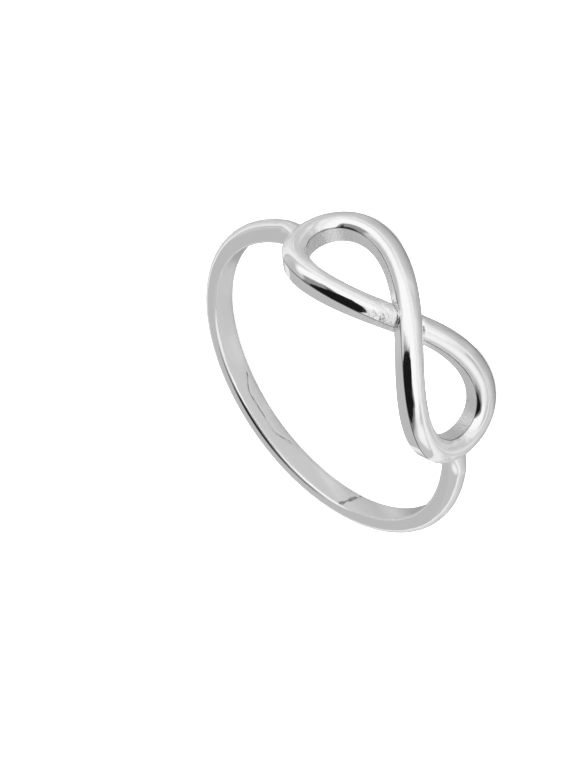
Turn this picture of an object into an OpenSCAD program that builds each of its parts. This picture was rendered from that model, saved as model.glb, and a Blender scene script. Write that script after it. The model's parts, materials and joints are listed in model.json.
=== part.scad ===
// Infinity ring: a half-round band joined to a figure-of-eight wire that is bent round the finger.
// It lies on its side as it would on a table, so the finger's axis leans a few degrees off upright.

/* [Finger] */
// Diameter of the finger hole
finger_d = 17.3; // [15:0.1:21]

/* [Band] */
// Width of the band, along the finger
band_w = 1.45; // [1.2:0.05:2]
// Thickness of the band at its crown
band_t = 1.1; // [1:0.05:1.4]
// Height of the band's straight side, below its rounded crown
band_side = 0.5; // [0.35:0.05:0.7]
// Bevel of the inner edges, of the band and of the wire alike
inner_bevel = 0.07; // [0.05:0.01:0.15]

/* [Infinity motif] */
// Length of the motif's centre line round the finger, from one lobe's tip to the other's
motif_len = 14.8; // [13:0.1:16]
// Height of the centre line, from a lobe's lower strand to its upper one
motif_h = 4.8; // [4.4:0.1:6]
// Width of the wire
wire_w = 1.4; // [1.3:0.05:1.7]
// Height of the wire above the finger, at its crown
wire_t = 1.35; // [1.25:0.05:1.5]
// Height of the wire's straight side, below its crown
wire_side = 0.95; // [0.8:0.05:1]
// Share by which the lobes' ends are filled out past a plain figure of eight
lobe_fill = 0.065; // [0:0.005:0.1]
// Share by which each lobe's widest place moves towards its end
lobe_lean = 0.05; // [0:0.005:0.1]

/* [Crossing] */
// Rise of the strand that passes over
over_rise = 0.32; // [0.2:0.02:0.5]
// Drop of the strand that passes under
under_drop = 0.22; // [0.1:0.02:0.34]
// Distance from the crossing, round the finger, over which the rise and the drop fade
cross_len = 3; // [2:0.1:3.5]
// How far the strand that passes under bows out of each lobe
under_bow = 0.24; // [0:0.02:0.3]

/* [Solder joints] */
// Length of the solder from the lobe's outer side, along the band
joint_len = 0.8; // [0.5:0.05:1]
// How far the solder stands out from the band's sides where it meets the lobe
joint_flare = 0.2; // [0.1:0.01:0.25]
// Thickness of the solder, less than the band's so that it lies against the band's shoulders
joint_t = 0.95; // [0.8:0.05:1]
// Depth under the band's sides from which the solder comes up
joint_seat = 0.03; // [0.02:0.01:0.05]

/* [Hidden] */
finger_r = finger_d / 2;
band_crown = band_t - band_side;
band_crown_r = (band_w * band_w / 4 + band_crown * band_crown) / (2 * band_crown);
// Depth to which every piece that lies on the finger runs into its hole before the hole is cut
sunk = wire_w * wire_w / 8 / finger_r + 0.1;
// Half of the angle that the motif's centre line takes up round the finger
tip_angle = motif_len / 2 / finger_r * 180 / PI;
strand_steps = 72;
lie_tries = 30;
tongue = 3;
tongue_slim = 0.15;
crown_steps = 10;
joint_steps = 8;
smooth = 96;

// A point at radius r, at an angle round the finger from the motif's middle, and at height z
function ring_point(r, angle, z) = [r * sin(angle), -r * cos(angle), z];
function outward(angle) = ring_point(1, angle, 0);
function around(angle) = [cos(angle), sin(angle), 0];

// The wire's centre line, laid out flat: u round the finger and v along it, with t from 0 to 360
function line_u(t) = motif_len / 2 * (cos(t) + lobe_fill * cos(3 * t)) / (1 + lobe_fill);
function line_v(t) = motif_h / 2 * (sin(2 * t) + lobe_lean * sin(4 * t));
function slope_u(t) = -motif_len / 2 * (sin(t) + 3 * lobe_fill * sin(3 * t)) / (1 + lobe_fill);
function slope_v(t) = motif_h * (cos(2 * t) + 2 * lobe_lean * cos(4 * t));
function near_cross(t) = exp(-pow(line_u(t) / cross_len, 2));
// The strand from t = 180 to 360 passes over and lifts its back off the finger, and the one from 0 to 180
// passes under
function near_over(t) = sin(t) < 0 ? near_cross(t) : 0;
function rise(t) = over_rise * near_over(t) - under_drop * (near_cross(t) - near_over(t));

// An outline across a wire and up from the finger, from one lower corner to the other: bevelled lower
// edges, straight sides as high as side, and an arc from there over top. Its back is lift above the finger,
// less depth.
function crowned_section(half, side, top, lift = 0, depth = sunk) =
    let (
        crown_r = (half * half + pow(top - side, 2)) / (2 * (top - side)),
        crown_angle = asin(half / crown_r)
    )
    [
        [half - inner_bevel - depth, lift - depth],
        [half, lift + inner_bevel],
        for (i = [0 : crown_steps])
            let (a = crown_angle * (1 - 2 * i / crown_steps))
            [crown_r * sin(a), top - crown_r * (1 - cos(a))],
        [-half, lift + inner_bevel],
        [inner_bevel + depth - half, lift - depth]
    ];

// The outline at t, drawn in towards its middle by the share slim
function wire_station(t, slim = 0) =
    let (
        angle = line_u(t) / finger_r * 180 / PI,
        run = norm([slope_u(t), slope_v(t)]),
        across = (around(angle) * slope_v(t) - [0, 0, 1] * slope_u(t)) / run,
        bow = under_bow * pow(max(sin(t), 0), 2) * cos(t),
        middle = ring_point(finger_r, angle, line_v(t)) + across * bow,
        lift = over_rise * near_over(t),
        depth = sunk * (1 - near_over(t))
    )
    [for (p = crowned_section(wire_w / 2, wire_side + rise(t), wire_t + rise(t), lift, depth))
        middle + across * p[0] * (1 - slim) + outward(angle) * (p[1] + (wire_side / 2 - p[1]) * slim)];

// A strand runs from one lobe's tip to the other's, and its end reaches on into the next strand
function strand_stations(from) = [
    for (i = [0 : strand_steps]) wire_station(from + 180 * i / strand_steps),
    wire_station(from + 180 + tongue, tongue_slim)
];

// All points of the motif's skin that lie outside the finger hole
motif_skin = [
    for (from = [0, 180], s = strand_stations(from), p = s)
        if (norm([p[0], p[1]]) > finger_r) p
];
// How low the motif and the band reach, when the ring lies on its side with its motif lifted by f degrees
function motif_low(f) = min([for (p = motif_skin) p[2] * cos(f) - p[1] * sin(f)]);
function band_low(f) =
    90 - f < asin(min(1, band_w / 2 / band_crown_r))
        ? -(finger_r + band_t - band_crown_r) * sin(f) - band_crown_r
        : -(finger_r + band_side) * sin(f) - band_w / 2 * cos(f);
// The angle at which the two lobes and the back of the band touch the table together
function lie_between(low, high, tries) =
    let (f = (low + high) / 2)
    tries == 0 ? f
        : motif_low(f) < band_low(f) ? lie_between(f, high, tries - 1)
        : lie_between(low, f, tries - 1);
lie_angle = lie_between(0, 45, lie_tries);
motif_front = min([for (p = motif_skin) p[1] * cos(lie_angle) + p[2] * sin(lie_angle)]);
band_back = (finger_r + band_t - band_crown_r) * cos(lie_angle) + band_crown_r;

// The solder comes up through the band's sides and curves out to the lobe's outer side, then runs on
// to the middle of the lobe's wire
function joint_stations(side) =
    let (lobe_side = tip_angle + wire_w / 2 / finger_r * 180 / PI)
    [for (i = [0 : joint_steps + 1])
        let (
            k = min(i, joint_steps) / joint_steps,
            away = i > joint_steps ? -wire_w / 2 : joint_len * (1 - k),
            angle = side * (lobe_side + away / finger_r * 180 / PI),
            half = band_w / 2 - joint_seat + (joint_flare + joint_seat) * (1 - sqrt(1 - k * k))
        )
        [for (p = crowned_section(half, band_side, joint_t))
            ring_point(finger_r + p[1], angle, p[0] * side)]
    ];

// Triangles between rings of points, with a cap of triangles at each end
module sweep(stations) {
    count = len(stations[0]);
    last = len(stations) - 1;
    sides = [
        for (i = [0 : last - 1], j = [0 : count - 1])
            let (a = i * count + j, b = i * count + (j + 1) % count)
            each [[a, b, b + count], [a, b + count, a + count]]
    ];
    start_cap = [for (j = [1 : count - 2]) [0, j + 1, j]];
    end_cap = [for (j = [1 : count - 2]) [for (k = [0, j, j + 1]) last * count + k]];
    polyhedron([for (s = stations) each s], concat(sides, start_cap, end_cap), convexity = 6);
}

module band_profile() {
    foot_w = band_w / 2 - inner_bevel - sunk;
    polygon([
        [finger_r - sunk, -foot_w],
        [finger_r + inner_bevel, -band_w / 2],
        [finger_r + band_side, -band_w / 2],
        [finger_r + band_side, band_w / 2],
        [finger_r + inner_bevel, band_w / 2],
        [finger_r - sunk, foot_w]
    ]);
    intersection() {
        translate([finger_r + band_t - band_crown_r, 0])
            circle(r = band_crown_r, $fn = smooth);
        translate([finger_r + band_side - inner_bevel, -band_w / 2])
            square([band_crown + 2 * inner_bevel, band_w]);
    }
}

// The band runs behind the finger from the middle of one lobe's wire to the other's
module band() {
    rotate([0, 0, tip_angle - 90])
        rotate_extrude(angle = 360 - 2 * tip_angle, $fn = smooth)
            band_profile();
}

module lie_down() {
    translate([0, -(motif_front + band_back) / 2, -band_low(lie_angle)])
        rotate([-lie_angle, 0, 0])
            children();
}

module ring() {
    color("silver") lie_down()
        difference() {
            union() {
                band();
                sweep(strand_stations(0));
                sweep(strand_stations(180));
                for (side = [-1, 1])
                    sweep(joint_stations(side));
            }
            cylinder(r = finger_r, h = 2 * motif_h + 4 * wire_w, center = true, $fn = smooth);
        }
}

ring();
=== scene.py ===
"""Infinity ring in polished silver, lying on a pale floor under soft studio light."""

import json
import math
from typing import NamedTuple

import bmesh
import bpy
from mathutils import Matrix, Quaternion, Vector


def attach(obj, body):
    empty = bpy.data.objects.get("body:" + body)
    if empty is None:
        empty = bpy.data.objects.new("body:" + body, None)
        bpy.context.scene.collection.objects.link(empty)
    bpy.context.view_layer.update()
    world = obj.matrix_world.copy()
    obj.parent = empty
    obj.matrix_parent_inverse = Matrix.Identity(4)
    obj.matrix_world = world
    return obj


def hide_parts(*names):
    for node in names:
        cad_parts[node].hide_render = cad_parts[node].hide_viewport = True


bl_info = {
    "name": "Infinity ring",
    "version": (1, 0, 0),
    "blender": (4, 5, 0),
    "location": "View3D > Sidebar > Infinity Ring",
    "description": "Dresses a figure-of-eight finger ring in polished silver and sets it in a small studio",
    "category": "Object",
}

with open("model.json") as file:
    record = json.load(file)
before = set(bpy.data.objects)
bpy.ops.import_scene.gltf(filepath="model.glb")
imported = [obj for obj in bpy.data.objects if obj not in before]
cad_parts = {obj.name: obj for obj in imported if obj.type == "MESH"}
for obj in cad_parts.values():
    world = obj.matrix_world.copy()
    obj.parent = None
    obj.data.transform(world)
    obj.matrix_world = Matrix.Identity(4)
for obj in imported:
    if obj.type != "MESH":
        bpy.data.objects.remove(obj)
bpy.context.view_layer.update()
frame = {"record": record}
FINGER = next(mount for mount in frame["record"]["mounts"] if mount["name"] == "finger")
MM = 0.001


def number_property(name, description, default, **options):
    """A number with the options of a float property."""
    return bpy.props.FloatProperty(name=name, description=description, default=default, **options)


def length_property(name, description, default):
    """A length in metres, shown with its unit."""
    return number_property(name, description, default, subtype="DISTANCE", unit="LENGTH", precision=5)


def share_property(name, description, default):
    """A plain share from 0 to 1."""
    return number_property(name, description, default, min=0.0, max=1.0)


def angle_property(name, description, default):
    """An angle in radians, shown in degrees."""
    return number_property(name, description, default, subtype="ANGLE", unit="ROTATION")


def count_property(name, description, default, least):
    """A whole number."""
    return bpy.props.IntProperty(name=name, description=description, default=default, min=least)


def colour_property(name, description, default):
    """A colour without alpha."""
    return bpy.props.FloatVectorProperty(
        name=name, description=description, default=default, subtype="COLOR", size=3, min=0.0, max=1.0
    )


def point_property(name, description, default):
    """A point in metres."""
    return bpy.props.FloatVectorProperty(
        name=name, description=description, default=default, subtype="TRANSLATION", unit="LENGTH", precision=5
    )


# Sizes and colours that a user may change


class FingerSettings(bpy.types.PropertyGroup):
    """The finger hole and how the ring lies."""

    radius: length_property("Radius", "Radius of the finger hole", FINGER["dims"]["r_mm"] * MM)
    rest_angle: angle_property(
        "Rest angle",
        "How far the finger's axis leans off upright when the ring lies on its side",
        math.atan2(FINGER["axis"][1], FINGER["axis"][2]),
    )
    centre: point_property("Centre", "Middle of the finger hole", FINGER["pos_m"])


class BandSettings(bpy.types.PropertyGroup):
    """The half-round band. Places on it are measured along its inside from the motif's middle."""

    width: length_property("Width", "Width of the band along the finger", 1.45 * MM)
    thickness: length_property("Thickness", "Thickness at the band's crown", 1.1 * MM)
    side: length_property("Side height", "Height of the straight side below the crown", 0.5 * MM)
    edge: length_property("Edge radius", "Rounding of the lower inner edge", 0.08 * MM)
    worn_edge: length_property("Worn edge radius", "Rounding of the upper inner edge", 0.24 * MM)
    shoulder: length_property("Shoulder radius", "Rounding between the sides and the crown", 0.25 * MM)
    joint_dip: length_property("Dip", "How far the crown sinks towards the joints", 0.2 * MM)
    seam_place: length_property("Seam place", "Place of the seam inside the band", 33.6 * MM)
    seam_depth: length_property("Seam depth", "Depth of the seam and of the crease", 0.03 * MM)
    crease_start: length_property("Crease start", "Start of the crease inside the band", 23.8 * MM)
    crease_end: length_property("Crease end", "End of the crease inside the band", 28.6 * MM)
    stations: count_property("Stations", "Steps along the band", 520, 16)


class MotifSettings(bpy.types.PropertyGroup):
    """The wire bent in a figure of eight."""

    length: length_property("Length", "Length of the centre line round the finger", 14.8 * MM)
    height: length_property("Height", "Height of the centre line along the finger", 4.8 * MM)
    lobe_fill: share_property("Lobe fill", "How far the lobes' ends are filled out", 0.065)
    lobe_lean: share_property("Lobe lean", "How far each lobe's widest place moves to its end", 0.05)
    wire_width: length_property("Wire width", "Width of the wire", 1.4 * MM)
    wire_thickness: length_property("Wire thickness", "Height of the crown above the finger", 1.35 * MM)
    side: length_property("Side height", "Height of the wire's straight side", 0.95 * MM)
    edge: length_property("Edge radius", "Rounding of the wire's two inner edges", 0.08 * MM)
    shoulder: length_property("Shoulder radius", "Rounding between the wire's sides and its crown", 0.06 * MM)
    shoulder_wear: length_property("Shoulder wear", "How far shoulders are worn near the crossing", 0.17 * MM)
    wear_length: length_property("Wear length", "Distance from the crossing over which that fades", 5.0 * MM)
    over_rise: length_property("Rise", "Rise of the strand that passes over", 0.32 * MM)
    under_drop: length_property("Drop", "Drop of the strand that passes under", 0.22 * MM)
    under_bow: length_property("Bow", "How far the strand that passes under bows out of each lobe", 0.24 * MM)
    cross_length: length_property("Crossing length", "Distance over which rise and drop fade", 3.0 * MM)
    cross_fillet: length_property("Crossing fillet", "Rounding where the two strands are fused", 0.22 * MM)
    cast_depth: length_property("Cast skin", "Height of the rough skin where strands are fused", 0.16 * MM)
    cast_size: length_property("Cast lumps", "Size of the lumps of the rough skin", 0.3 * MM)
    stations: count_property("Stations", "Steps along the wire", 960, 32)


class SolderSettings(bpy.types.PropertyGroup):
    """The two solder joints between band and motif."""

    fillet: length_property("Fillet", "Radius of the solder between the band and a lobe", 0.3 * MM)


class SilverSettings(bpy.types.PropertyGroup):
    """Finish of the silver: polished by hand, and rough as cast where polishing did not reach."""

    polished_colour: colour_property("Polished colour", "Colour of polished silver", (0.955, 0.955, 0.953))
    cast_colour: colour_property("Cast colour", "Colour of the cast skin", (0.92, 0.92, 0.92))
    polished_roughness: share_property("Polished roughness", "Roughness of the polished faces", 0.07)
    cast_roughness: share_property("Cast roughness", "Roughness of the cast skin", 0.26)
    wave_size: length_property("Wave size", "Distance between the waves that polishing leaves", 1.0 * MM)
    wave_height: length_property("Wave height", "Height of the waves that polishing leaves", 0.016 * MM)
    # The fine lines' colour is painted shade along the shoulders and the crease, and grime in the seam
    shade_and_grime_colour: colour_property("Shade and grime line colour", "Colour of the fine lines: painted shade at shoulders and crease, grime in the seam", (0.2, 0.2, 0.2))
    line_width: length_property("Line width", "Half the width of the lines at shoulders and seams", 0.05 * MM)
    line_strength: share_property("Line strength", "How dark the fine lines are", 0.8)
    scratch_width: length_property("Scratch width", "Width of the fine polishing marks", 0.09 * MM)
    scratch_length: length_property("Scratch length", "Length of the fine polishing marks", 1.6 * MM)
    scratch_depth: length_property("Scratch depth", "Depth of the fine polishing marks", 0.001 * MM)
    grain_size: length_property("Grain size", "Size of the grains of the cast skin", 0.14 * MM)
    grain_depth: length_property("Grain depth", "Depth of the grains of the cast skin", 0.04 * MM)


class StudioSettings(bpy.types.PropertyGroup):
    """Floor, light and camera. Near and far are distances on the floor from the ring's middle."""

    floor: colour_property("Floor", "Colour of the floor", (0.88, 0.88, 0.88))
    floor_glow: share_property("Floor glow", "How much light comes up through the floor", 0.6)
    backdrop: colour_property("Backdrop", "Colour behind the floor's far edge", (0.93, 0.93, 0.93))
    tent: number_property("Tent", "Brightness of the light tent", 0.51, min=0.0)
    overhead: number_property("Overhead", "Power of the light over the floor", 60.0, min=0.0, unit="POWER")
    overhead_size: length_property("Overhead size", "Width of the soft light over the floor", 2.4)
    overhead_height: length_property("Overhead height", "Height of the soft light over the floor", 1.2)
    # The floor as the ring's reflections show it: a darker copy with painted shade, deepest near the ring,
    # and painted patches of light (glints) that stand for light the ring throws
    mirrored_near_shade: colour_property("Mirrored near floor", "Near floor in reflections", (0.25, 0.25, 0.25))
    mirrored_far_shade: colour_property("Mirrored far floor", "Far floor in reflections", (0.38, 0.38, 0.38))
    near_floor: length_property("Near floor", "Distance up to which the floor is near", 8.0 * MM)
    far_floor: length_property("Far floor", "Distance from which the floor is far", 32.0 * MM)
    glints: number_property("Glints", "Strength of the light that the ring throws on the floor", 2.6, min=0.0)
    glint_size: length_property("Glint size", "Size of the patches of that light", 3.0 * MM)
    flag: colour_property("Flag", "Colour of the small flag over the ring", (0.004, 0.004, 0.004))
    flag_height: length_property("Flag height", "Height of the small flag over the floor", 15.0 * MM)
    distance: length_property("Distance", "Distance of the camera from its target", 0.7846)
    azimuth: angle_property("Azimuth", "Turn of the camera from the motif's side", math.radians(-2.2801))
    elevation: angle_property("Elevation", "Angle of the camera above the floor", math.radians(40.3027))
    roll: angle_property("Roll", "Turn of the camera about its line of sight", math.radians(124.134))
    lens: number_property("Lens", "Focal length of the camera", 669.26, subtype="DISTANCE_CAMERA", min=1.0)
    target: point_property("Target", "Point in the middle of the picture", (0.00119, 0.00181, 0.00392))


# Arithmetic written with nodes


class Value:
    """A socket of a node tree. One that holds a number is used in plain arithmetic."""

    def __init__(self, tree, socket):
        self.tree = tree
        self.socket = socket

    def __add__(self, other):
        return calculate(self.tree, "ADD", self, other)

    def __sub__(self, other):
        return calculate(self.tree, "SUBTRACT", self, other)

    def __rsub__(self, other):
        return calculate(self.tree, "SUBTRACT", other, self)

    def __mul__(self, other):
        return calculate(self.tree, "MULTIPLY", self, other)

    def __truediv__(self, other):
        return calculate(self.tree, "DIVIDE", self, other)

    def __rtruediv__(self, other):
        return calculate(self.tree, "DIVIDE", other, self)

    def __pow__(self, other):
        return calculate(self.tree, "POWER", self, other)

    def __neg__(self):
        return calculate(self.tree, "MULTIPLY", self, -1.0)

    __radd__ = __add__
    __rmul__ = __mul__

    def do(self, operation, *others):
        """Any other operation of the Math node."""
        return calculate(self.tree, operation, self, *others)

    def clamp(self, low=0.0, high=1.0):
        """Held between two limits."""
        return self.do("MAXIMUM", low).do("MINIMUM", high)


def feed(tree, value, socket):
    """Links a value into a socket, or sets it there when it is a constant."""
    if isinstance(value, Value):
        tree.links.new(value.socket, socket)
    elif isinstance(value, bpy.types.NodeSocket):
        tree.links.new(value, socket)
    else:
        socket.default_value = value


def feed_all(tree, node, values):
    """Feeds a node's inputs by name."""
    for name, value in values.items():
        feed(tree, value, node.inputs[name])


def add_node(tree, kind, settings=None, **values):
    """A node with its settings, and its inputs fed by name with spaces as underscores."""
    node = tree.nodes.new(kind)
    for key, value in (settings or {}).items():
        setattr(node, key, value)
    feed_all(tree, node, {key.replace("_", " "): value for key, value in values.items()})
    return node


def calculate(tree, operation, *values):
    """One Math node."""
    node = add_node(tree, "ShaderNodeMath", {"operation": operation})
    for value, socket in zip(values, node.inputs):
        feed(tree, value, socket)
    return Value(tree, node.outputs[0])


def vector_math(tree, operation, first, second):
    """One Vector Math node. Scale takes a number second, and a dot product gives one."""
    node = add_node(tree, "ShaderNodeVectorMath", {"operation": operation})
    feed(tree, first, node.inputs[0])
    feed(tree, second, node.inputs["Scale" if operation == "SCALE" else 1])
    return node.outputs["Value" if operation == "DOT_PRODUCT" else "Vector"]


def fade(value, limits, unit=1.0):
    """Runs smoothly from 0 to 1 as value goes from the first limit to the second, both counted in units."""
    low, high = (unit * limit for limit in limits)
    settings = {"interpolation_type": "SMOOTHSTEP"}
    node = add_node(value.tree, "ShaderNodeMapRange", settings, Value=value, From_Min=low, From_Max=high)
    return Value(value.tree, node.outputs["Result"])


def bell(distance, length):
    """1 at no distance, falling to almost nothing at twice this length."""
    return (-((distance / length) ** 2.0)).do("EXPONENT")


def split(tree, vector):
    """The three numbers of a vector."""
    node = add_node(tree, "ShaderNodeSeparateXYZ", Vector=vector)
    return [Value(tree, socket) for socket in node.outputs]


def join(tree, x, y, z):
    """A vector from three numbers."""
    return add_node(tree, "ShaderNodeCombineXYZ", X=x, Y=y, Z=z).outputs[0]


def noise(tree, size, place, detail=2.0):
    """Smooth noise over the place, from -0.5 to 0.5, with lumps of this size."""
    scaled = vector_math(tree, "SCALE", place, 1.0 / size)
    node = add_node(tree, "ShaderNodeTexNoise", Detail=detail, Scale=1.0, Vector=scaled)
    return Value(tree, node.outputs[0]) - 0.5


def rgba(colour):
    """The colour with full alpha."""
    return (*colour, 1.0)


def mix_colours(tree, share, first, second):
    """The first colour, turning to the second as share goes to 1."""
    return add_node(tree, "ShaderNodeMixRGB", Fac=share, Color1=first, Color2=second).outputs[0]


def mix_shaders(tree, share, first, second):
    """The first shader, turning to the second as share goes to 1."""
    node = tree.nodes.new("ShaderNodeMixShader")
    for value, socket in zip((share, first, second), node.inputs):
        feed(tree, value, socket)
    return node.outputs[0]


def numbers(labels):
    """Sockets for plain numbers."""
    return dict.fromkeys(labels, "Float")


def new_group(kind, name, inputs, outputs):
    """An empty node group with these inputs and outputs by label, and its inputs as values."""
    tree = bpy.data.node_groups.new(name, kind)
    for in_out, sockets in (("INPUT", inputs), ("OUTPUT", outputs)):
        for label, socket in sockets.items():
            tree.interface.new_socket(name=label, in_out=in_out, socket_type="NodeSocket" + socket)
    given = tree.nodes.new("NodeGroupInput").outputs
    return tree, {label: Value(tree, given[label]) for label in inputs}


# Node trees of the wires


def new_wire_tree(name, sizes):
    """An empty geometry tree for a wire, with the inputs that both wires share and a number for each size."""
    shared = ("Radius", "Rest Angle", "Wave Size", "Wave Height", "Fillet")
    inputs = {"Geometry": "Geometry", "Centre": "Vector", **numbers(shared), **numbers(sizes)}
    inputs.update({"Neighbour": "Object", "Material": "Material"})
    return new_group("GeometryNodeTree", name, inputs, {"Geometry": "Geometry"})


def end_wire_tree(tree, geometry, material):
    """Smooth shading, real geometry and the material, as the last three steps."""
    smooth = add_node(tree, "GeometryNodeSetShadeSmooth", Geometry=geometry)
    real = add_node(tree, "GeometryNodeRealizeInstances", Geometry=smooth.outputs[0])
    dressed = add_node(tree, "GeometryNodeSetMaterial", Geometry=real.outputs[0], Material=material)
    add_node(tree, "NodeGroupOutput", Geometry=dressed.outputs[0])


def point_of(tree):
    """Where each point is."""
    return add_node(tree, "GeometryNodeInputPosition").outputs[0]


def normal_of(tree):
    """Which way the skin faces at each point."""
    return add_node(tree, "GeometryNodeInputNormal").outputs[0]


def in_use(sockets, name):
    """The socket of this name that the node's settings leave in use."""
    return next(socket for socket in sockets if socket.name == name and socket.enabled)


def remember(tree, geometry, **fields):
    """Stores each number on the points, so that it outlives the bending."""
    settings = {"data_type": "FLOAT", "domain": "POINT"}
    for name, value in fields.items():
        node = add_node(tree, "GeometryNodeStoreNamedAttribute", settings, Geometry=geometry, Name=name)
        feed(tree, value, in_use(node.inputs, "Value"))
        geometry = node.outputs["Geometry"]
    return geometry


def recall(tree, name):
    """Reads a stored number."""
    node = add_node(tree, "GeometryNodeInputNamedAttribute", {"data_type": "FLOAT"}, Name=name)
    return Value(tree, in_use(node.outputs, "Attribute"))


def laid_on_side(tree, given, x, y, z):
    """Turns a point of the upright ring about X by the rest angle and moves it to the ring's centre."""
    cosine = given["Rest Angle"].do("COSINE")
    sine = given["Rest Angle"].do("SINE")
    turned = join(tree, x, y * cosine + z * sine, z * cosine - y * sine)
    return vector_math(tree, "ADD", turned, given["Centre"])


def fillet_height(distance, radius):
    """How far a skin rises to make a round fillet with another skin at this distance."""
    knee = radius * (1.0 - math.sqrt(0.5))
    gap = radius - distance.clamp(knee, radius)
    arc = radius - (radius * radius - gap * gap).do("MAXIMUM", 0.0).do("SQRT")
    return arc + (knee - distance).do("MAXIMUM", 0.0)


def weld_height(tree, target, radius):
    """Height of the fillet from each point towards the target: full where the skins meet squarely, none where
    they run side by side."""
    near = add_node(tree, "GeometryNodeProximity", {"target_element": "FACES"})
    feed(tree, target, near.inputs[0])
    normal = normal_of(tree)
    there = add_node(tree, "GeometryNodeSampleNearestSurface", {"data_type": "FLOAT_VECTOR"}, Mesh=target)
    feed(tree, normal, in_use(there.inputs, "Value"))
    alike = Value(tree, vector_math(tree, "DOT_PRODUCT", normal, in_use(there.outputs, "Value")))
    return fillet_height(Value(tree, near.outputs["Distance"]), radius) * (1.0 - alike).do("MINIMUM", 1.0)


def distance_to_shoulder(across, up, width, side):
    """Distance of a point of the straight wire from the corner between its side and its crown."""
    aside = width / 2.0 - across.do("ABSOLUTE")
    above = up - side
    return (aside * aside + above * above).do("SQRT")


def move_to(tree, geometry, place):
    """Moves each point to its place."""
    return add_node(tree, "GeometryNodeSetPosition", Geometry=geometry, Position=place).outputs[0]


def swell(tree, geometry, height):
    """Moves each point outwards along its normal."""
    offset = vector_math(tree, "SCALE", normal_of(tree), height)
    return add_node(tree, "GeometryNodeSetPosition", Geometry=geometry, Offset=offset).outputs[0]


def solder_height(tree, given):
    """Height of the solder towards the other wire."""
    neighbour = add_node(tree, "GeometryNodeObjectInfo", Object=given["Neighbour"]).outputs["Geometry"]
    return weld_height(tree, neighbour, given["Fillet"])


def wave_height(tree, given):
    """Height of the waves that polishing leaves."""
    return noise(tree, given["Wave Size"], point_of(tree)) * given["Wave Height"]


# How far a back stays inside another one that lies in the same face
TUCK = 0.02 * MM
# Share of the side's height over which fillets grow from nothing at the back
OFF_BACK = (0.02, 0.25)

# Settings that the motif's tree takes
MOTIF_SIZES = (
    "Length",
    "Height",
    "Lobe Fill",
    "Lobe Lean",
    "Wire Width",
    "Wire Thickness",
    "Side",
    "Shoulder Wear",
    "Wear Length",
    "Over Rise",
    "Under Drop",
    "Under Bow",
    "Cross Length",
    "Cross Fillet",
    "Cast Depth",
    "Cast Size",
)
# Length of the whole wire, in lengths of the motif
WIRE_LENGTH = 2.8
# The lobes' inner walls: across the wire in half widths, up its side in shares of the side, and round the
# finger in shares of the motif's half length
WALL_ACROSS = (0.94, 0.99)
WALL_UP = (1.02, 0.96)
WALL_ROUND = (0.12, 0.25)
# The side, below the shoulder, in shares of its height
SIDE_FACE = (1.0, 0.85)
# Nearness to the crossing at which its fillet grows, and from which a strand counts for the other's
FILLET_NEAR = (0.02, 0.1)
# The tips and the rough corner of the crossing, in shares of the motif's half length, and the nearness to
# the crossing that this corner needs
TIP_ROUND = (0.7, 0.8)
CORNER_ROUND = (0.02, 0.08)
CORNER_NEAR = (0.68, 0.92)
LUMP_DETAIL = 3.0


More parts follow.
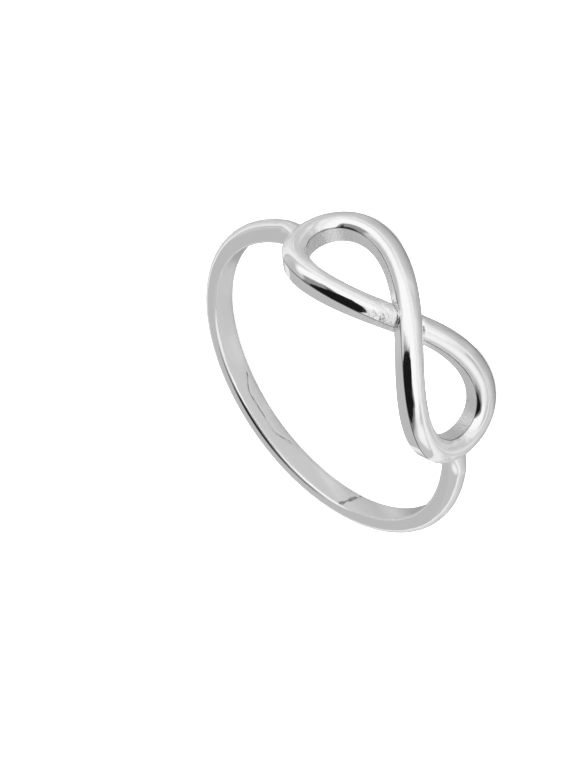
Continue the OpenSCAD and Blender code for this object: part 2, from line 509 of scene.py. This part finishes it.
def make_motif_tree():
    """Bends a straight crowned wire, which lies along X from 0 to 1, into a figure of eight on the finger."""
    tree, given = new_wire_tree("Wire in a figure of eight", MOTIF_SIZES)
    along, across, up = split(tree, point_of(tree))
    turn = along * math.tau
    half_length = given["Length"] / 2.0
    fill = given["Lobe Fill"]
    lean = given["Lobe Lean"]
    whole = fill + 1.0
    round_finger = half_length * (turn.do("COSINE") + fill * (turn * 3.0).do("COSINE")) / whole
    along_finger = given["Height"] / 2.0 * ((turn * 2.0).do("SINE") + lean * (turn * 4.0).do("SINE"))
    slope_round = -half_length * (turn.do("SINE") + fill * 3.0 * (turn * 3.0).do("SINE")) / whole
    slope_along = given["Height"] * ((turn * 2.0).do("COSINE") + lean * 2.0 * (turn * 4.0).do("COSINE"))
    run = (slope_round * slope_round + slope_along * slope_along).do("SQRT")

    near_cross = bell(round_finger, given["Cross Length"])
    passes_over = turn.do("SINE").do("LESS_THAN", 0.0)
    rise = near_cross * (passes_over * (given["Over Rise"] + given["Under Drop"]) - given["Under Drop"])
    side_share = up / given["Side"]
    lifted = side_share.clamp()
    crown_share = (given["Wire Thickness"] - up) / (given["Wire Thickness"] - given["Side"])
    wear = given["Shoulder Wear"] * bell(round_finger, given["Wear Length"])
    wear = wear * lifted.do("MINIMUM", crown_share)

    # The flat back lies on the finger, but for the strand that passes over, which lifts it with its crown.
    # The back of the strand below stays a hair inside the other's.
    radius = given["Radius"]
    bow = given["Under Bow"] * (turn.do("SINE").do("MAXIMUM", 0.0) ** 2.0) * turn.do("COSINE")
    spread = across + bow
    sideways = spread * slope_along / run
    sag = radius - (radius * radius - sideways * sideways).do("SQRT")
    tucked = near_cross * (1.0 - passes_over) * (1.0 - lifted) * TUCK
    back_lift = near_cross * passes_over * given["Over Rise"]
    out = radius + up - wear + rise * lifted + (back_lift - sag) * (1.0 - lifted) + tucked
    angle = round_finger / radius
    sine = angle.do("SINE")
    cosine = angle.do("COSINE")
    place = laid_on_side(
        tree,
        given,
        out * sine + sideways * cosine,
        sideways * sine - out * cosine,
        along_finger - spread * slope_round / run,
    )
    side_by_side = across / given["Wire Width"] * 2.0
    inner = -(side_by_side * turn.do("COSINE").do("SIGN"))
    lobe_wall = fade(inner, WALL_ACROSS) * fade(side_share, WALL_UP)
    geometry = remember(
        tree,
        given["Geometry"],
        over=passes_over,
        near_cross=near_cross,
        lifted=lifted,
        round_finger=round_finger,
        along=along * given["Length"] * WIRE_LENGTH,
        around=side_by_side,
        wall=lobe_wall * fade(round_finger.do("ABSOLUTE"), WALL_ROUND, half_length),
        side_face=fade(side_share, SIDE_FACE),
        # Distance to the shoulder, along which a dark line of painted shade is drawn
        line=distance_to_shoulder(across, up, given["Wire Width"], given["Side"]),
    )
    bent = move_to(tree, geometry, place)

    # Each strand swells towards the other at the crossing, and both towards the band at the tips
    over = recall(tree, "over")
    near = recall(tree, "near_cross")
    round_finger = recall(tree, "round_finger")
    at_cross = near.do("GREATER_THAN", FILLET_NEAR[0])
    heights = []
    for chosen in (over * at_cross, (1.0 - over) * at_cross):
        part = add_node(
            tree, "GeometryNodeSeparateGeometry", {"domain": "POINT"}, Geometry=bent, Selection=chosen
        )
        heights.append(weld_height(tree, part.outputs["Selection"], given["Cross Fillet"]))
    to_over, to_under = heights
    crossing = (over * to_under + (1.0 - over) * to_over) * fade(near, FILLET_NEAR)
    at_tip = fade(round_finger.do("ABSOLUTE"), TIP_ROUND, half_length)
    joint = solder_height(tree, given) * at_tip * recall(tree, "side_face")

    # Polishing did not reach the corner where the strand below comes out on the right lobe's side
    corner = fade(round_finger, CORNER_ROUND, half_length) * fade(near, CORNER_NEAR) * (1.0 - over)
    lumps = noise(tree, given["Cast Size"], point_of(tree), LUMP_DETAIL) * given["Cast Depth"] * corner
    height = crossing + joint + lumps + wave_height(tree, given)
    filled = swell(tree, bent, height * fade(recall(tree, "lifted"), OFF_BACK))
    marked = remember(tree, filled, cast=corner.do("MAXIMUM", recall(tree, "wall")))
    end_wire_tree(tree, marked, given["Material"])
    return tree


# Settings that the band's tree takes
BAND_SIZES = (
    "Width",
    "Thickness",
    "Side",
    "Joint Dip",
    "Seam Place",
    "Seam Depth",
    "Crease Start",
    "Crease End",
)
# Distances from the band's ends, in widths of the motif's wire, over which its back tucks in and its crown
# dips
TUCK_ENDS = (0.35, 0.5)
DIP_ENDS = (1.3, 0.6)
# Share of the crown's height over which the solder fades out
OFF_CROWN = (0.5, 0.0)
# The seam runs on by this share of its way across, and wanders
SEAM_SLANT = 0.4
SEAM_WANDER = 0.8 * MM
SEAM_WANDER_SIZE = 0.4 * MM
SEAM_DETAIL = 1.0
# The crease runs a little below the inside's middle, bends down at both ends, fades there, and wanders
CREASE_DROP = 0.03 * MM
CREASE_BEND = (1.1 * MM, 0.0)
CREASE_BEND_DROP = 0.4 * MM
CREASE_FADE = (0.0, -0.3 * MM)
CREASE_WANDER = 0.22 * MM
CREASE_WANDER_SIZE = 0.7 * MM
# Added to the distance from a line, so that it stops past the crease's ends and on the band's sides
PAST_END = 1.0 * MM
OFF_INSIDE = 2.0 * MM
# Distance from either line over which its groove comes up, and the share of that distance that counts for
# its dark line, which is grime in the seam and painted shade in the crease: the smaller the share, the wider
# the dark line
GROOVE = (0.09 * MM, 0.0)
SEAM_GRIME = 0.5
CREASE_SHADE = 0.8


def make_band_tree():
    """Bends a straight band, which lies along X from 0 to 1, round the finger from one lobe to the other."""
    tree, given = new_wire_tree("Band round the finger", (*BAND_SIZES, "Motif Length", "Wire Width"))
    along, across, up = split(tree, point_of(tree))
    radius = given["Radius"]
    side = given["Side"]
    tip = given["Motif Length"] / 2.0 / radius
    band_angle = math.tau - tip * 2.0
    angle = tip + along * band_angle
    round_finger = angle * radius
    nearer_end = (along - 0.5).do("SIGN").do("MAXIMUM", 0.0)
    from_end = (along - nearer_end).do("ABSOLUTE") * band_angle * radius
    lifted = (up / side).clamp()
    tucked = (1.0 - fade(from_end, TUCK_ENDS, given["Wire Width"])) * TUCK
    crowned = ((up - side) / (given["Thickness"] - side)).do("MAXIMUM", 0.0)
    dip = given["Joint Dip"] * crowned * fade(from_end, DIP_ENDS, given["Wire Width"])
    out = radius + up + tucked * (1.0 - lifted) - dip
    place = laid_on_side(tree, given, out * angle.do("SINE"), -(out * angle.do("COSINE")), across)

    # Distances to the seam and to the crease, before they wander
    to_end = (round_finger - given["Crease Start"]).do("MINIMUM", given["Crease End"] - round_finger)
    geometry = remember(
        tree,
        given["Geometry"],
        lifted=lifted,
        along=round_finger,
        around=across / given["Width"] * 2.0,
        straight_seam=round_finger - given["Seam Place"] + across * SEAM_SLANT,
        straight_crease=across + fade(to_end, CREASE_BEND) * CREASE_BEND_DROP + CREASE_DROP,
        past_end=fade(to_end, CREASE_FADE) * PAST_END,
        crowned=crowned,
    )
    bent = move_to(tree, geometry, place)

    off_inside = recall(tree, "lifted") * OFF_INSIDE
    wander = noise(tree, SEAM_WANDER_SIZE, point_of(tree), SEAM_DETAIL) * SEAM_WANDER
    seam = (recall(tree, "straight_seam") + wander).do("ABSOLUTE") + off_inside
    wander = noise(tree, CREASE_WANDER_SIZE, point_of(tree)) * CREASE_WANDER
    crease = (recall(tree, "straight_crease") + wander).do("ABSOLUTE")
    crease = crease + recall(tree, "past_end") + off_inside
    groove = fade(seam.do("MINIMUM", crease), GROOVE) * given["Seam Depth"]
    # Dark lines: grime along the seam, painted shade along the crease
    marked = remember(tree, bent, line=(seam * SEAM_GRIME).do("MINIMUM", crease * CREASE_SHADE))
    joint = solder_height(tree, given) * fade(recall(tree, "lifted"), OFF_BACK)
    joint = joint * fade(recall(tree, "crowned"), OFF_CROWN)
    filled = swell(tree, marked, joint + wave_height(tree, given) - groove)
    end_wire_tree(tree, filled, given["Material"])
    return tree


# Straight lengths of wire, and their bending


def half_outline(half, side, top, edge, shoulder, edge_steps=7, side_steps=8, crown_steps=18):
    """Right half of a crowned wire's outline, from its flat back up its straight side and over to its top."""
    corner = half - edge
    rise = top - side
    radius = (half * half + rise * rise) / (2.0 * rise)
    middle = top - radius
    # The shoulder, where side and arc meet at an angle, is rounded off
    soft = radius - shoulder
    soft_across = half - shoulder
    soft_up = middle + math.sqrt(soft * soft - soft_across * soft_across)
    lean = math.atan2(soft_up - middle, soft_across)
    points = []
    for i in range(edge_steps):
        turn = math.radians(90.0 * i / edge_steps)
        points.append((corner + edge * math.sin(turn), edge * (1.0 - math.cos(turn))))
    for i in range(side_steps):
        points.append((half, edge + (soft_up - edge) * i / side_steps))
    for i in range(edge_steps):
        turn = lean * i / edge_steps
        points.append((soft_across + shoulder * math.cos(turn), soft_up + shoulder * math.sin(turn)))
    for i in range(crown_steps):
        turn = lean + (math.pi / 2.0 - lean) * i / crown_steps
        points.append((radius * math.cos(turn), middle + radius * math.sin(turn)))
    return points


def crowned_outline(width, side, top, edges, shoulder, back_steps=14):
    """Outline of a wire with straight sides and an arc over its top, as (across, up), once round from the
    right end of its flat back. The radii of its right and left inner edges may differ."""
    half = width / 2.0
    right, left = (half_outline(half, side, top, edge, shoulder) for edge in edges)
    mirrored = [(-x, y) for x, y in reversed(left)]
    start, end = mirrored[-1][0], right[0][0]
    back = [(start + (end - start) * i / back_steps, 0.0) for i in range(1, back_steps)]
    return right + [(0.0, top)] + mirrored + back


def straight_wire(name, outline, stations, closed):
    """A length of wire from 0 to 1 along X. A closed one joins up once it is bent."""
    steps = stations if closed else stations - 1
    points = [(i / steps, x, y) for i in range(stations) for x, y in outline]
    count = len(outline)
    faces = []
    for i in range(steps):
        here, there = i * count, (i + 1) % stations * count
        for j in range(count):
            beside = (j + 1) % count
            faces.append((here + j, here + beside, there + beside, there + j))
    if not closed:
        last = (stations - 1) * count
        faces += [tuple(range(count)), tuple(last + j for j in reversed(range(count)))]
    mesh = bpy.data.meshes.new(name)
    mesh.from_pydata(points, [], faces)
    piece = bpy.data.objects.new(name, mesh)
    bpy.context.scene.collection.objects.link(piece)
    return piece


def bend(piece, tree, values):
    """Runs the tree on the piece with these inputs and keeps the result as a plain mesh."""
    modifier = piece.modifiers.new(tree.name, "NODES")
    modifier.node_group = tree
    for item in tree.interface.items_tree:
        if item.item_type == "SOCKET" and item.in_out == "INPUT" and item.name in values:
            modifier[item.identifier] = values[item.name]
    depsgraph = bpy.context.evaluated_depsgraph_get()
    depsgraph.update()
    mesh = bpy.data.meshes.new_from_object(
        piece.evaluated_get(depsgraph), preserve_all_data_layers=True, depsgraph=depsgraph
    )
    piece.modifiers.clear()
    piece.data = mesh
    face_outwards(mesh)


def face_outwards(mesh):
    """Turns all faces outwards."""
    work = bmesh.new()
    work.from_mesh(mesh)
    bmesh.ops.recalc_face_normals(work, faces=work.faces)
    work.to_mesh(mesh)
    work.free()


def settings_for(group, labels):
    """The settings behind a tree's inputs, by label: Lobe Fill is lobe_fill."""
    return {label: getattr(group, label.lower().replace(" ", "_")) for label in labels}


def shared_values(scene, neighbour):
    """Inputs that both wires share. There is solder only towards a neighbour that is there."""
    return {
        **settings_for(scene.ring_finger, ("Radius", "Rest Angle")),
        **settings_for(scene.ring_silver, ("Wave Size", "Wave Height")),
        "Centre": tuple(scene.ring_finger.centre),
        "Fillet": scene.ring_solder.fillet if neighbour else 0.0,
        "Neighbour": neighbour,
        "Material": silver_material(scene),
    }


def make_motif(scene, name, tree, band=None):
    """The motif, plain, or with solder towards the band where one is given."""
    sizes = scene.ring_motif
    edges = (sizes.edge, sizes.edge)
    outline = crowned_outline(sizes.wire_width, sizes.side, sizes.wire_thickness, edges, sizes.shoulder)
    piece = straight_wire(name, outline, sizes.stations, closed=True)
    bend(piece, tree, {**shared_values(scene, band), **settings_for(sizes, MOTIF_SIZES)})
    return piece


def make_band(scene, name, tree, motif=None):
    """The band, plain, or with solder towards the motif where one is given."""
    sizes = scene.ring_band
    edges = (sizes.worn_edge, sizes.edge)
    outline = crowned_outline(sizes.width, sizes.side, sizes.thickness, edges, sizes.shoulder)
    piece = straight_wire(name, outline, sizes.stations, closed=False)
    values = {
        **shared_values(scene, motif),
        **settings_for(sizes, BAND_SIZES),
        "Motif Length": scene.ring_motif.length,
        "Wire Width": scene.ring_motif.wire_width,
    }
    bend(piece, tree, values)
    return piece


def discard(piece):
    """Removes a helper object and its mesh."""
    mesh = piece.data
    bpy.data.objects.remove(piece)
    bpy.data.meshes.remove(mesh)


# Finishes

# Numbers that the silver's finish reads from the mesh, and from its settings
STORED = ("Along", "Around", "Cast", "Line")
FINISH = (
    "Polished Roughness",
    "Cast Roughness",
    "Line Width",
    "Line Strength",
    "Scratch Length",
    "Scratch Depth",
    "Grain Size",
    "Grain Depth",
)
FINISH_COLOURS = ("Polished Colour", "Cast Colour", "Shade And Grime Colour")
GRAIN_DETAIL = 4.0
# Blotches are several grains wide. They vary the cast skin's edge and the roughness.
BLOTCH_GRAINS = 8.0
BLOTCH_DETAIL = 3.0
BLOTCH_ON_CAST = 0.6
BLOTCH_ON_ROUGHNESS = 0.8
# Polishing marks vary the roughness, and break up the fine lines, which darken towards their core
MARKS_ON_ROUGHNESS = 0.8
MARKS_ON_LINE_WIDTH = 1.5
MARKS_ON_LINE_STRENGTH = 1.2
MEAN_LINE_STRENGTH = 0.9
LINE_CORE = (1.0, 0.4)


def polish_group():
    """What hand polishing leaves on silver: fine marks along the wire, and the grain of the cast skin that it
    did not reach. It also paints the fine dark lines: painted shade along the shoulders and the crease, and
    grime in the seam."""
    tree, given = new_group(
        "ShaderNodeTree",
        "Hand polish",
        {
            "Place": "Vector",
            **numbers((*STORED, *FINISH, "Scratch Spacing")),
            **dict.fromkeys(FINISH_COLOURS, "Color"),
        },
        {"Colour": "Color", "Roughness": "Float", "Height": "Float"},
    )
    grain = noise(tree, given["Grain Size"], given["Place"], GRAIN_DETAIL)
    blotch = noise(tree, given["Grain Size"] * BLOTCH_GRAINS, given["Place"], BLOTCH_DETAIL)
    lengthwise = given["Along"] / given["Scratch Length"]
    crosswise = given["Around"] / given["Scratch Spacing"]
    marks = noise(tree, 1.0, join(tree, lengthwise, crosswise, 0.0))
    cast = (given["Cast"] + blotch * BLOTCH_ON_CAST * given["Cast"]).clamp()
    height = marks * given["Scratch Depth"] * (1.0 - cast) + grain * given["Grain Depth"] * cast
    uneven = marks * MARKS_ON_ROUGHNESS + 1.0 + blotch * BLOTCH_ON_ROUGHNESS
    polished = given["Polished Roughness"] * uneven
    roughness = polished + cast * (given["Cast Roughness"] - polished)
    width = given["Line Width"] * (marks * MARKS_ON_LINE_WIDTH + 1.0)
    broken = marks * MARKS_ON_LINE_STRENGTH + MEAN_LINE_STRENGTH
    # Dark lines painted into the colour: painted shade at the shoulders and the crease, grime at the seam
    line = (fade(given["Line"], LINE_CORE, width) * given["Line Strength"] * broken).clamp()
    colour = mix_colours(tree, cast, given["Polished Colour"], given["Cast Colour"])
    colour = mix_colours(tree, line, colour, given["Shade And Grime Colour"])
    add_node(tree, "NodeGroupOutput", Colour=colour, Roughness=roughness, Height=height)
    return tree


def new_material(name):
    """A material, its node tree and the Principled shader in it."""
    material = bpy.data.materials.new(name)
    material.use_nodes = True
    return material, material.node_tree, material.node_tree.nodes["Principled BSDF"]


def silver_material(scene):
    """Silver polished by hand."""
    name = "Polished silver"
    if name in bpy.data.materials:
        return bpy.data.materials[name]
    finish = scene.ring_silver
    material, tree, shader = new_material(name)
    polish = add_node(tree, "ShaderNodeGroup", {"node_tree": polish_group()})
    stored = {
        label: add_node(tree, "ShaderNodeAttribute", {"attribute_name": label.lower()}).outputs["Fac"]
        for label in STORED
    }
    colours = {label: rgba(colour) for label, colour in settings_for(finish, FINISH_COLOURS).items()}
    values = {
        **stored,
        **settings_for(finish, FINISH),
        **colours,
        "Place": add_node(tree, "ShaderNodeTexCoord").outputs["Object"],
        "Scratch Spacing": finish.scratch_width / scene.ring_motif.wire_width * 2.0,
    }
    feed_all(tree, polish, values)
    bump = add_node(tree, "ShaderNodeBump", Height=polish.outputs["Height"], Distance=1.0)
    shading = {
        "Metallic": 1.0,
        "Base Color": polish.outputs["Colour"],
        "Roughness": polish.outputs["Roughness"],
        "Normal": bump.outputs["Normal"],
    }
    feed_all(tree, shader, shading)
    return material


# Studio


class Card(NamedTuple):
    """A card of the light tent: where its middle stands, in degrees, half its width and height as seen from
    the ring, the softness of its edge, and its brightness. A later card hides an earlier one."""

    name: str
    azimuth: float
    elevation: float
    half_width: float
    half_height: float
    softness: float
    brightness: float


CARDS = (
    Card("Wide front", 20.0, 36.5, 2.55, 1.46, 1.24, 0.99),
    Card("Left back", -125.0, -12.6, 0.48, 1.7, 0.05, 0.54),
    Card("Left side", -76.5, 27.2, 0.57, 0.61, 0.41, 0.92),
    Card("Right side", 103.3, 8.5, 1.17, 0.29, 0.39, 0.62),
    Card("Dim ceiling", 0.0, 82.0, 0.66, 0.82, 0.2, 0.2),
    Card("Black zenith", 0.0, 78.0, 0.4, 0.45, 0.08, 0.01),
    Card("Dark right", 62.0, 59.0, 0.42, 0.28, 0.15, 0.3),
)
# A card shows only in directions that turn at least this far to it
LEAST_FACING = 0.001


def card_group():
    """Mask of a flat card far away, seen in a direction: 1 on the card, 0 beside it."""
    sizes = ("Azimuth", "Elevation", "Half Width", "Half Height", "Softness")
    inputs = {"Direction": "Vector", **numbers(sizes)}
    tree, given = new_group("ShaderNodeTree", "Studio card", inputs, {"Mask": "Float"})
    azimuth, elevation, half_width, half_height, softness = (given[label] for label in sizes)
    x, y, z = split(tree, given["Direction"])
    sine, cosine = azimuth.do("SINE"), azimuth.do("COSINE")
    forward = x * sine - y * cosine
    right = x * cosine + y * sine
    facing = forward * elevation.do("COSINE") + z * elevation.do("SINE")
    up = z * elevation.do("COSINE") - forward * elevation.do("SINE")
    depth = facing.do("MAXIMUM", LEAST_FACING)
    mask = facing.do("GREATER_THAN", LEAST_FACING)
    for half_size, seen in ((half_width, right), (half_height, up)):
        mask = mask * fade(half_size - (seen / depth).do("ABSOLUTE"), (0.0, 1.0), softness)
    add_node(tree, "NodeGroupOutput", Mask=mask)
    return tree


def make_world(scene):
    """A grey light tent with white and dark cards, which the camera itself sees as a plain backdrop."""
    world = bpy.data.worlds.new("Light tent")
    world.use_nodes = True
    tree = world.node_tree
    tree.nodes.clear()
    direction = add_node(tree, "ShaderNodeTexCoord").outputs["Generated"]
    group = card_group()
    level = Value(tree, add_node(tree, "ShaderNodeValue").outputs[0])
    level.socket.default_value = scene.ring_studio.tent
    for card in CARDS:
        node = add_node(
            tree,
            "ShaderNodeGroup",
            {"node_tree": group, "label": card.name},
            Direction=direction,
            Azimuth=math.radians(card.azimuth),
            Elevation=math.radians(card.elevation),
            Half_Width=card.half_width,
            Half_Height=card.half_height,
            Softness=card.softness,
        )
        level = level + Value(tree, node.outputs["Mask"]) * (card.brightness - level)
    tent = add_node(tree, "ShaderNodeBackground", Color=level)
    backdrop = add_node(tree, "ShaderNodeBackground", Color=rgba(scene.ring_studio.backdrop))
    to_camera = add_node(tree, "ShaderNodeLightPath").outputs["Is Camera Ray"]
    mix = mix_shaders(tree, to_camera, tent.outputs[0], backdrop.outputs[0])
    add_node(tree, "ShaderNodeOutputWorld", Surface=mix)
    scene.world = world


FLOOR_HALF_WIDTH = 1.5
FLOOR_CORNERS = ((-1.0, -1.0), (1.0, -1.0), (1.0, 1.0), (-1.0, 1.0))
FLOOR_FINISH = {"Roughness": 0.6, "Specular IOR Level": 0.2}
# Limits of the far colour's share in the mirrored floor's painted shade. Below 0, painted shade makes the
# floor darker than it is by the ring.
GLINT_LIMITS = (-0.3, 1.0)


def link_sheet(scene, name, points, material):
    """A flat sheet with this outline."""
    mesh = bpy.data.meshes.new(name)
    mesh.from_pydata(points, [], [tuple(range(len(points)))])
    mesh.materials.append(material)
    sheet = bpy.data.objects.new(name, mesh)
    scene.collection.objects.link(sheet)
    return sheet


def make_floor(scene):
    """A plain pale floor. The ring's reflections see a darker copy of it, with painted shade that deepens
    towards the ring and painted patches of light.
    """
    studio = scene.ring_studio
    material, tree, seen = new_material("Pale floor")
    place = add_node(tree, "ShaderNodeTexCoord").outputs["Object"]
    x, y, _ = split(tree, place)
    # Painted shade of the floor in reflections, darker near the ring, and painted patches of light from noise
    far = fade((x * x + y * y).do("SQRT"), (studio.near_floor, studio.far_floor))
    far = far + noise(tree, studio.glint_size, place) * studio.glints
    near_shade_colour, far_shade_colour = rgba(studio.mirrored_near_shade), rgba(studio.mirrored_far_shade)
    colour = mix_colours(tree, far.clamp(*GLINT_LIMITS), near_shade_colour, far_shade_colour)
    # A darker, shaded copy of the floor, which only the ring's reflections see: painted shade
    mirrored = tree.nodes.new("ShaderNodeBsdfPrincipled")
    feed_all(tree, mirrored, {**FLOOR_FINISH, "Base Color": colour})
    glow = {"Emission Color": rgba((1.0, 1.0, 1.0)), "Emission Strength": studio.floor_glow}
    feed_all(tree, seen, {**FLOOR_FINISH, **glow, "Base Color": rgba(studio.floor)})
    to_ring = add_node(tree, "ShaderNodeLightPath").outputs["Is Glossy Ray"]
    mix = mix_shaders(tree, to_ring, seen.outputs[0], mirrored.outputs[0])
    feed(tree, mix, tree.nodes["Material Output"].inputs["Surface"])
    points = [(x * FLOOR_HALF_WIDTH, y * FLOOR_HALF_WIDTH, 0.0) for x, y in FLOOR_CORNERS]
    floor = link_sheet(scene, "floor", points, material)


# Outline of the black flag, in millimetres from the ring's middle, with the motif's side at negative y
FLAG = (
    (-5.5, -7.0),
    (-6.5, -11.0),
    (-5.2, -14.5),
    (-2.8, -17.5),
    (0.8, -19.5),
    (3.6, -17.0),
    (5.2, -14.0),
    (6.6, -10.5),
    (5.0, -7.5),
    (0.0, -6.0),
)


def make_flag(scene):
    """A small black flag just over the ring, which only the ring's reflections show."""
    material, tree, shader = new_material("Black velvet")
    velvet = {"Base Color": rgba(scene.ring_studio.flag), "Roughness": 1.0, "Specular IOR Level": 0.0}
    feed_all(tree, shader, velvet)
    points = [(x * MM, y * MM, scene.ring_studio.flag_height) for x, y in FLAG]
    flag = link_sheet(scene, "flag", points, material)
    for ray in ("camera", "diffuse", "transmission", "volume_scatter", "shadow"):
        setattr(flag, "visible_" + ray, False)


def make_overhead_light(scene):
    """A wide soft light over the floor, which the ring does not mirror."""
    studio = scene.ring_studio
    data = bpy.data.lights.new("overhead", "AREA")
    data.energy = studio.overhead
    data.size = studio.overhead_size
    light = bpy.data.objects.new("overhead", data)
    light.location = (0.0, 0.0, studio.overhead_height)
    light.visible_glossy = False
    light.visible_camera = False
    scene.collection.objects.link(light)


# Width of the camera's sensor in millimetres, and its nearest and farthest sight in metres
SENSOR_WIDTH = 36.0
CAMERA_REACH = (0.01, 10.0)


def make_camera(scene):
    """The camera, at the photograph's angle to the ring."""
    studio = scene.ring_studio
    data = bpy.data.cameras.new("camera")
    data.lens = studio.lens
    data.sensor_width = SENSOR_WIDTH
    data.clip_start, data.clip_end = CAMERA_REACH
    camera = bpy.data.objects.new("camera", data)
    scene.collection.objects.link(camera)
    away = Vector((
        math.sin(studio.azimuth) * math.cos(studio.elevation),
        -math.cos(studio.azimuth) * math.cos(studio.elevation),
        math.sin(studio.elevation),
    ))
    level = (-away).to_track_quat("-Z", "Y")
    camera.rotation_mode = "QUATERNION"
    camera.rotation_quaternion = Quaternion(-away, studio.roll) @ level
    camera.location = Vector(studio.target) + away * studio.distance
    scene.camera = camera


# Operators


class RING_OT_metal(bpy.types.Operator):
    """Makes the motif and the band, fused and soldered together, in place of the ring's plain solid"""

    bl_idname = "ring.metal"
    bl_label = "Motif and band"

    def execute(self, context):
        scene = context.scene
        motif_tree = make_motif_tree()
        band_tree = make_band_tree()
        plain_motif = make_motif(scene, "plain_motif", motif_tree)
        plain_band = make_band(scene, "plain_band", band_tree)
        motif = make_motif(scene, "motif", motif_tree, plain_band)
        band = make_band(scene, "band", band_tree, plain_motif)
        discard(plain_motif)
        discard(plain_band)
        for piece in (motif, band):
            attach(piece, "root")
            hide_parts("ring")
        return {"FINISHED"}


class RING_OT_studio(bpy.types.Operator):
    """Makes the floor, the lights, the black flag and the camera"""

    bl_idname = "ring.studio"
    bl_label = "Studio"

    def execute(self, context):
        scene = context.scene
        scene.view_settings.view_transform = "Standard"
        make_floor(scene)
        make_flag(scene)
        make_overhead_light(scene)
        make_world(scene)
        make_camera(scene)
        return {"FINISHED"}


class RING_PT_panel(bpy.types.Panel):
    """The ring's operators."""

    bl_idname = "RING_PT_panel"
    bl_label = "Infinity Ring"
    bl_space_type = "VIEW_3D"
    bl_region_type = "UI"
    bl_category = "Infinity Ring"

    def draw(self, context):
        for operator in OPERATORS:
            self.layout.operator(operator.bl_idname)


SETTINGS = {
    "ring_finger": FingerSettings,
    "ring_band": BandSettings,
    "ring_motif": MotifSettings,
    "ring_solder": SolderSettings,
    "ring_silver": SilverSettings,
    "ring_studio": StudioSettings,
}
OPERATORS = (RING_OT_metal, RING_OT_studio)


def register():
    """Registers the settings, operators and panel."""
    for name, group in SETTINGS.items():
        bpy.utils.register_class(group)
        setattr(bpy.types.Scene, name, bpy.props.PointerProperty(type=group))
    for part in (*OPERATORS, RING_PT_panel):
        bpy.utils.register_class(part)


def unregister():
    """Takes them out again."""
    for part in (RING_PT_panel, *reversed(OPERATORS)):
        bpy.utils.unregister_class(part)
    for name, group in reversed(SETTINGS.items()):
        delattr(bpy.types.Scene, name)
        bpy.utils.unregister_class(group)


def main():
    """Makes the ring and its studio."""
    register()
    bpy.ops.ring.metal()
    bpy.ops.ring.studio()


if __name__ == "__main__":
    main()
